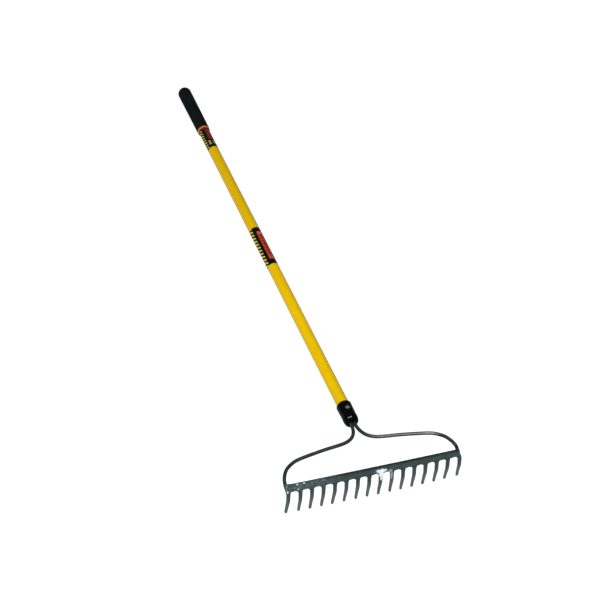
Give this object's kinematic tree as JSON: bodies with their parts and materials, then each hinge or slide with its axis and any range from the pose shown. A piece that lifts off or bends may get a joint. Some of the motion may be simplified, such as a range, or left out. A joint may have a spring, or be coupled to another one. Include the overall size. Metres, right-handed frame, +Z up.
{
  "type": "bow rake",
  "caption": "Garden bow rake: a forged steel head of curved tines on a two-rod bow, riveted in a black ferrule to a long yellow fibreglass handle with an end grip.",
  "frame": {"origin": "on the ground plane under the centre of the rake's bounding box, with the rake lying as it is put down: tine tips and end grip on the ground", "axes": "+X across the head, +Y along the handle from the head towards the grip, +Z up; the handle's axis falls about 2.5 degrees towards the grip"},
  "size_m": [0.4132, 1.6506, 0.1023],
  "materials": {
    "forged_steel": "clear-coated forged steel, grey-green, glossy",
    "bow_rod_left": "clear-coated dark grey-green steel rod, glossy",
    "bow_rod_right": "clear-coated dark grey-green steel rod, glossy",
    "weld_left": "coated weld metal",
    "weld_right": "coated weld metal",
    "ferrule_black": "gloss black enamel",
    "rivet_zinc": "zinc-plated steel",
    "yellow_fibreglass": "gloss yellow fibreglass",
    "plug_nylon": "moulded nylon, hidden inside the handle",
    "grip_rubber": "matt black foam rubber",
    "collar_orange": "orange-red moulded plastic",
    "lower_label_film": "printed film, black and orange-red blocks",
    "upper_label_film": "printed film, black and dark-red blocks"
  },
  "bodies": {
    "root": {"rake_head": "forged_steel", "bow_arm_left": "bow_rod_left", "bow_arm_right": "bow_rod_right", "weld_bead_left": "weld_left", "weld_bead_right": "weld_right", "ferrule": "ferrule_black", "ferrule_rivet": "rivet_zinc", "handle_tube": "yellow_fibreglass", "tang_plug": "plug_nylon", "end_grip": "grip_rubber", "grip_collar": "collar_orange", "lower_label": "lower_label_film", "upper_label": "upper_label_film"}
  },
  "joints": []
}
